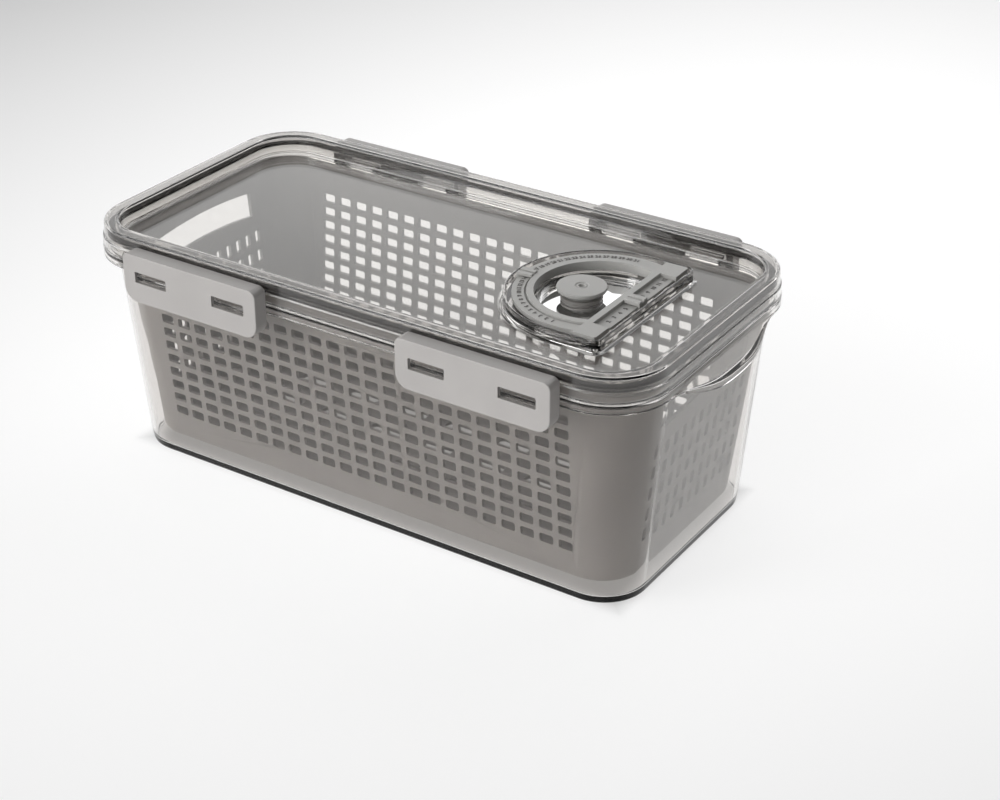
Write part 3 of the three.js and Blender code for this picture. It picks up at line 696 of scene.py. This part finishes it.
def clear_lid():
    skirt = [(-7.0, 109.6), (-6.7, 109.9, 0.3), (-5.6, CHANNEL_ROOF, 0.5), (-1.5, CHANNEL_ROOF, 0.5), (-0.6, SKIRT_BOTTOM, 0.3),
             (1.3, SKIRT_BOTTOM, 0.5), (0.9, 112.9, 0.4), (0.4, 113.4, 0.4), (0.0, TOP, 1.6), (-7.0, TOP, 1.2),
             (-8.6, PANEL_TOP, 1.2), (-10.6, PANEL_TOP)]
    loops = lid_rounded(skirt, 4)
    fills = []

    def plane_then(more):
        fills.append((len(loops) - 1, len(loops)))
        loops.extend(more)

    gap = POCKET_GAP
    wall = POCKET_GAP + POCKET_WALL
    foot = wall + PLATEAU_REACH
    raised = PANEL_TOP + PLATEAU
    plane_then([d_outline(foot + 0.5, PANEL_TOP), d_outline(foot + 0.15, PANEL_TOP + 0.1), d_outline(foot - 0.15, raised - 0.1),
                d_outline(foot - 0.5, raised)])
    plane_then([d_outline(wall + 0.6, raised), d_outline(wall + 0.15, raised + 0.15), d_outline(wall, raised + 0.6),
                d_outline(wall, POCKET_TOP - 0.5), d_outline(wall - 0.15, POCKET_TOP - 0.15), d_outline(wall - 0.5, POCKET_TOP),
                d_outline(gap + 0.5, POCKET_TOP), d_outline(gap + 0.15, POCKET_TOP - 0.15), d_outline(gap, POCKET_TOP - 0.5),
                d_outline(gap, POCKET_FLOOR)])
    step = OPENING_RADIUS + POCKET_STEP
    chord = RAIL_X + POCKET_STEP
    seat = POCKET_FLOOR - POCKET_STEP
    plane_then([chord_outline(step, chord, POCKET_FLOOR), chord_outline(step, chord, seat)])
    plane_then([chord_outline(WELL_RADIUS + 0.6, WELL_CHORD + 0.6, seat),
                chord_outline(WELL_RADIUS + 0.15, WELL_CHORD + 0.15, seat - 0.15),
                chord_outline(WELL_RADIUS, WELL_CHORD, seat - 0.6),
                chord_outline(WELL_RADIUS, WELL_CHORD, WELL_FLOOR + 1.0),
                chord_outline(WELL_RADIUS - 0.3, WELL_CHORD - 0.3, WELL_FLOOR + 0.3),
                chord_outline(WELL_RADIUS - 1.0, WELL_CHORD - 1.0, WELL_FLOOR)])
    collar = COLLAR_RADIUS
    plane_then([circle(KNOB_X, collar, WELL_FLOOR), circle(KNOB_X, collar - 0.2, WELL_FLOOR + 0.3),
                circle(KNOB_X, collar - 0.3, WELL_FLOOR + 1.9), circle(KNOB_X, collar - 0.6, WELL_FLOOR + 2.2),
                circle(KNOB_X, collar - 1.2, WELL_FLOOR + 2.2), circle(KNOB_X, collar - 1.5, WELL_FLOOR + 1.9),
                circle(KNOB_X, collar - 1.6, WELL_FLOOR + 0.3), circle(KNOB_X, collar - 1.8, WELL_FLOOR)])
    plane_then([circle(KNOB_X, VENT_HOLE + 0.3, WELL_FLOOR), circle(KNOB_X, VENT_HOLE, WELL_FLOOR - 0.3),
                circle(KNOB_X, VENT_HOLE, WELL_FLOOR - LID_WALL)])
    outer = LID_WALL
    plane_then([chord_outline(WELL_RADIUS + outer - 1.2, WELL_CHORD + outer - 1.2, WELL_FLOOR - LID_WALL),
                chord_outline(WELL_RADIUS + outer - 0.35, WELL_CHORD + outer - 0.35, WELL_FLOOR - LID_WALL + 0.35),
                chord_outline(WELL_RADIUS + outer, WELL_CHORD + outer, WELL_FLOOR - LID_WALL + 1.2),
                chord_outline(WELL_RADIUS + outer, WELL_CHORD + outer, seat - outer)])
    plane_then([chord_outline(step + outer, chord + outer, seat - outer),
                chord_outline(step + outer, chord + outer, POCKET_FLOOR - outer)])
    plane_then([d_outline(wall - outer, POCKET_FLOOR - outer), d_outline(wall - outer, PANEL_BOTTOM)])
    fills.append((len(loops) - 1, 0))
    body = loft("clear_lid", loops, closed=True, fills=fills)
    arms = []
    for centre in LATCH_CENTRES:
        for side in (-1, 1):
            arm = hinge_arm(centre + side * ARM_OFFSET)
            arms += [copy_of(arm), copy_of(arm, mirror=(1, -1, 1))]
            bpy.data.objects.remove(arm, do_unlink=True)
    cut(body, join("arms", arms), "UNION")
    shade(body, 40)
    return finish_piece(body, "clear_lid", "lid", "clear_plastic", CLEAR_LID, "lid")


def gasket():
    low, top = RIM_TOP + 0.3, RIM_TOP + 1.4
    loops = lid_rounded([(-1.65, low), (-1.65, top, 0.4), (-5.15, top, 0.4), (-5.15, low, 0.4), (-1.75, low)])
    ring = loft("gasket", loops, closed=True)
    shade(ring, 60)
    return finish_piece(ring, "gasket", "lid", "seal_silicone", SILICONE, "lid_gasket")


# Latches
def latch():
    half = LATCH_LENGTH / 2
    body = block((-half, LATCH_BACK, LATCH_BOTTOM), (half, LATCH_FACE, LATCH_TOP))

    def round_off(test, width, steps):
        edit(body, "EDGE")
        pick(body, "EDGE", test)
        bpy.ops.mesh.bevel(affect="EDGES", offset=width, segments=steps)
        rest()

    side = lambda p: abs(abs(p.x) - half) < 0.01 and abs(p.y - (LATCH_BACK + LATCH_FACE) / 2) < 0.01
    round_off(lambda p: side(p) and abs(p.z - LATCH_BOTTOM) < 0.01, 7.0, 10)
    round_off(lambda p: side(p) and abs(p.z - LATCH_TOP) < 0.01, 3.4, 6)
    round_off(lambda p: abs(p.y - LATCH_BACK) < 0.01 and p.z > LATCH_TOP - 0.01, 3.5, 6)
    front = lambda p: abs(p.y - LATCH_FACE) < 0.01
    edit(body, "EDGE")
    pick(body, "EDGE", front)
    bpy.ops.mesh.bevel(affect="EDGES", offset=0.5, segments=3)
    rest()
    eye_y, eye_z = HINGE
    hollow = across([(LATCH_FACE - LATCH_PLATE, LATCH_BOTTOM - 1), *arc(HINGE, 2.25, 0, math.radians(135), 8),
                     (eye_y - 3.4, eye_z + 3.4), (LATCH_BACK - 1, eye_z + 3.4), (LATCH_BACK - 1, LATCH_BOTTOM - 1)],
                    -half + 2.2, half - 2.2)
    cut(body, hollow)
    for sign in (-1, 1):
        x = sign * SLOT_OFFSET
        cut(body, block((x - 9.3, 78, 103.3), (x + 9.3, 90, 108.7), 0.5, 2, lambda p: abs(p.y - 84) < 0.1))
        rib = ARM_OFFSET - 1.6 - 0.3 - 1.6
        low, high = sorted((sign * rib, sign * (rib + 1.6)))
        cut(body, block((low, eye_y - 0.9, eye_z - 1.2), (high, LATCH_FACE - 0.8, LATCH_TOP - 0.7)), "UNION")
        ends = sorted((sign * (rib + 0.5), sign * (half - 1.1)))
        cut(body, across(arc(HINGE, 0.9, 0, math.tau * 15 / 16, 15), *ends), "UNION")
    modifier(body, "BEVEL", width=0.2, segments=2, limit_method="ANGLE", angle_limit=math.radians(50))
    shade(body, 50)
    return body


def four_latches():
    model = latch()
    for row, turn in (("rear", 0.0), ("front", math.pi)):
        for name, x in (("left", LATCH_CENTRES[0]), ("right", LATCH_CENTRES[1])):
            twin = copy_of(model, (x, 0, 0), turn)
            body = f"latch_{row}_{name}"
            finish_piece(twin, f"{body}_clip", body, "latch_grey", LATCH_GREY, body)
    bpy.data.objects.remove(model, do_unlink=True)


# Date dial
STEP_WIDTH = 1.5
GROOVE = 1.0
GROOVE_DEPTH = 1.3
SCALE_WIDTH = 8.0
BAR_STEP = 1.0
BAR_HALF = 29.4
DIGIT = 2.9


def date_dial():
    body = filled_prism(d_outline(0, DIAL_BOTTOM), DIAL_TOP - DIAL_BOTTOM)
    cut(body, filled_prism(chord_outline(OPENING_RADIUS, RAIL_X, DIAL_BOTTOM - 1), 8))
    ring = DIAL_RADIUS - SCALE_WIDTH
    for near, far, floor in ((ring, DIAL_RADIUS + 1, RING_TOP), (ring, ring + GROOVE, RING_TOP - GROOVE_DEPTH),
                             (DIAL_RADIUS - STEP_WIDTH, DIAL_RADIUS + 1, FRAME_BOTTOM - 1)):
        sweep = filled_prism(chord_outline(far, RAIL_X, floor), 5)
        cut(sweep, filled_prism(chord_outline(near, RAIL_X + RAIL_WIDTH, floor - 1), 8))
        cut(body, sweep)
    for near, floor in ((RAIL_X + RAIL_WIDTH, BAND_TOP), (BAR_X - BAR_STEP, FRAME_BOTTOM - 1)):
        cut(body, block((near, -BAR_HALF, floor), (BAR_X + 1, BAR_HALF, DIAL_TOP + 2)))
    under = filled_prism(d_outline(1, DIAL_BOTTOM - 1), FRAME_BOTTOM - DIAL_BOTTOM + 1)
    cut(under, filled_prism(chord_outline(OPENING_RADIUS + 1.2, RAIL_X + 1.2, DIAL_BOTTOM - 2), 6))
    cut(body, under)
    soften(body, 0.3)
    return finish_piece(body, "dial_frame", "lid", "dial_grey", DIAL_GREY, "date_dial")


def digits(text, place, angle):
    """A raised number standing on the dial, its top pointing along the angle."""
    rest()
    bpy.ops.object.text_add(location=(0, 0, 0))
    number = bpy.context.object
    number.data.body = text
    number.data.size = DIGIT
    number.data.extrude = 0.12
    number.data.offset = 0.02
    number.data.resolution_u = 3
    number.data.align_x = "CENTER"
    number.data.align_y = "CENTER"
    bpy.ops.object.convert(target="MESH")
    number.data.transform(Matrix.Translation(place) @ Matrix.Rotation(angle - math.pi / 2, 4, "Z"))
    return number


def dial_numbers():
    middle = DIAL_RADIUS - STEP_WIDTH - 3.4
    numbers = []
    for day in range(1, 32):
        angle = math.radians(266 - 172 * (day - 1) / 30)
        place = (DIAL_X + middle * math.cos(angle), middle * math.sin(angle), RING_TOP + 0.1)
        numbers.append(digits(str(day), place, angle))
    for month in range(1, 13):
        y = -BAR_HALF + 2 * BAR_HALF * (month - 0.5) / 12
        numbers.append(digits(str(month), (BAR_X - 4.5, y, BAND_TOP + 0.1), math.pi))
    scale = join("dial_numbers", numbers)
    # The numbers carry the darker grey: painted shade on the raised digits
    return finish_piece(scale, "dial_numbers", "lid", "dial_grey", NUMBER_PAINTED_SHADE)


def pointers():
    spread = math.degrees(math.asin(3.5 / DIAL_RADIUS))
    low, high, lip = RING_TOP + 0.3, 118.6, FRAME_BOTTOM + 0.4
    middle = math.radians(184.5)
    turn = math.radians(spread)

    def sector(near, far, half):
        return [(*point, 0) for point in arc((DIAL_X, 0), far, middle - half, middle + half, 8)
                + arc((DIAL_X, 0), near, middle + half, middle - half, 8)]

    def lifted(points, z, height):
        return prism([(x, y, z) for x, y, _ in points], (0, 0, height))

    date = lifted(sector(33.3, 40.7, turn), low, high - low)
    cut(date, lifted(sector(39.8, 40.7, turn), lip, high - lip - 0.2), "UNION")
    cut(date, lifted(sector(32, 43, turn * 0.24), high - 0.9, 2))
    soften(date, 0.3)
    finish_piece(date, "date_slider", "date_pointer", "dial_grey", DIAL_GREY, "date_pointer")
    month = block((103.6, -3.5, BAND_TOP + 0.4), (111.4, 3.5, high))
    cut(month, block((110.6, -3.5, lip), (111.4, 3.5, high - 0.2)), "UNION")
    cut(month, block((103, -0.85, high - 0.9), (113, 0.85, high + 1)))
    soften(month, 0.3)
    finish_piece(month, "month_slider", "month_pointer", "dial_grey", DIAL_GREY, "month_pointer")


# Vent knob and its seal
def vent():
    knob = turned([(0, 98.5), (5.0, 98.5), (5.4, 98.7), (5.6, 99.1), (5.2, 99.6), (4.4, 99.8), (4.4, 107.6), (7.5, 107.6),
                   (7.5, 115.3), (7.9, 115.7), (10.8, 115.7), (11.25, 115.85), (11.4, 116.3), (11.4, 117.0), (11.25, 117.45),
                   (10.8, 117.6), (3.3, 117.6), (3.1, 117.5), (2.9, 117.25), (2.4, 117.25), (2.2, 117.5), (1.7, 117.5),
                   (1.45, 117.3), (1.3, 116.4), (1.0, 116.2), (0, 116.2)], KNOB_X)
    shade(knob, 50)
    finish_piece(knob, "vent_knob_top", "vent", "dial_grey", DIAL_GREY, "vent_knob")
    # The seal's darker grey is partly its silicone colour and partly painted shade beneath the knob
    seal = turned([(4.7, 105.3), (9.4, 105.3), (9.8, 105.7), (9.8, 107.4), (9.1, 107.9), (9.1, 108.6), (9.8, 109.1),
                   (9.8, 110.6), (9.1, 111.1), (9.1, 111.8), (9.6, 112.2), (9.4, 113.2), (7.8, 113.2), (7.8, 107.3),
                   (4.7, 107.3), (4.7, 105.3)], KNOB_X)
    shade(seal, 40)
    finish_piece(seal, "vent_seal_ring", "vent", "seal_silicone", SEAL_GREY_AND_SHADE, "vent_seal")


# Stage
# How bright the studio is at each height above the horizon
SKY = ((0.0, 2.1), (1.0, 0.35), (0.3, 1.15), (0.5, 0.65), (0.7, 0.4))
GLOW_CENTRE = (0.0, 0.2, 0)
LAMPS = (("key", (-0.95, -1.42, 1.1), 0.9, 11.8), ("rear", (0.3, 1.4, 1.3), 1.4, 8))


def stage():
    rest()
    bpy.ops.mesh.primitive_plane_add(size=8, location=(0, 0, -0.0005))
    floor = bpy.context.object
    floor.name = "floor"
    material, tree, shader = new_material("paper_painted_glow", Roughness=0.9)
    shader.inputs["Base Color"].default_value = linear("#949494")
    # The paper glows: painted light, brightest near the box and fading outwards
    shader.inputs["Emission Color"].default_value = (1, 1, 1, 1)
    place = add(tree, "ShaderNodeTexCoord")
    stretched = add(tree, "ShaderNodeVectorMath", {"operation": "MULTIPLY"}, [("Vector", place, "Object")])
    stretched.inputs[1].default_value = (1.15, 0.8, 1)
    away = add(tree, "ShaderNodeVectorMath", {"operation": "DISTANCE"}, [("Vector", stretched, "Vector")])
    away.inputs[1].default_value = GLOW_CENTRE
    fade = add(tree, "ShaderNodeMapRange", {"From Min": 0.26, "From Max": 0.9, "To Min": 0.77, "To Max": 0.27},
               [("Value", away, "Value")])
    # Painted shadow: the glow is halved under the box, from 10 mm inside its foot, and comes back over 12 mm outside
    # it
    split = add(tree, "ShaderNodeSeparateXYZ", (), [("Vector", place, "Object")])
    beyond = [add(tree, "ShaderNodeMath", {"operation": "SUBTRACT"},
                  [(0, add(tree, "ShaderNodeMath", {"operation": "ABSOLUTE"}, [(0, split, axis)]), 0)]) for axis in "XY"]
    for edge, half in zip(beyond, BASE):
        edge.inputs[1].default_value = (half - 10) * MM
    outside = add(tree, "ShaderNodeMath", {"operation": "MAXIMUM"}, [(0, beyond[0], 0), (1, beyond[1], 0)])
    shade_share = add(tree, "ShaderNodeMapRange", {"From Min": 0.0, "From Max": 0.012, "To Min": 0.5, "To Max": 1.0},
                      [("Value", outside, "Value")])
    glow = add(tree, "ShaderNodeMath", {"operation": "MULTIPLY"}, [(0, fade, "Result"), (1, shade_share, "Result")])
    tree.links.new(glow.outputs["Value"], shader.inputs["Emission Strength"])
    floor.data.materials.append(material)
    world = bpy.data.worlds.new("studio")
    world.use_nodes = True
    bpy.context.scene.world = world
    tree = world.node_tree
    back = tree.nodes["Background"]
    place = add(tree, "ShaderNodeTexCoord")
    split = add(tree, "ShaderNodeSeparateXYZ", (), [("Vector", place, "Generated")])
    ramp = add(tree, "ShaderNodeValToRGB", (), [("Fac", split, "Z")])
    stops = ramp.color_ramp.elements
    for number, (height, light) in enumerate(SKY):
        stop = stops[number] if number < 2 else stops.new(height)
        stop.position = height
        stop.color = (light, light, light, 1)
    tree.links.new(ramp.outputs["Color"], back.inputs["Color"])
    side = add(tree, "ShaderNodeMapRange", {"From Min": -0.2, "From Max": 0.4, "To Min": 1.3, "To Max": 0.02},
               [("Value", split, "X")])
    front = add(tree, "ShaderNodeMapRange", {"From Min": -1.0, "From Max": -0.2, "To Min": 1.0, "To Max": 0.0},
                [("Value", split, "Y")])
    both = add(tree, "ShaderNodeMath", {"operation": "ADD"}, [(0, side, "Result"), (1, front, "Result")])
    tree.links.new(both.outputs["Value"], back.inputs["Strength"])
    for name, place, size, power in LAMPS:
        light = bpy.data.lights.new(name, "AREA")
        light.shape = "SQUARE"
        light.size = size
        light.energy = power
        lamp = bpy.data.objects.new(name, light)
        bpy.context.collection.objects.link(lamp)
        lamp.location = place
        lamp.rotation_euler = (Vector(place) - Vector((0, 0, 0.06))).to_track_quat("Z", "Y").to_euler()
    bpy.context.scene.view_settings.view_transform = "Standard"


outer_box()
drain_basket()
clear_lid()
gasket()
four_latches()
date_dial()
dial_numbers()
pointers()
vent()
stage()
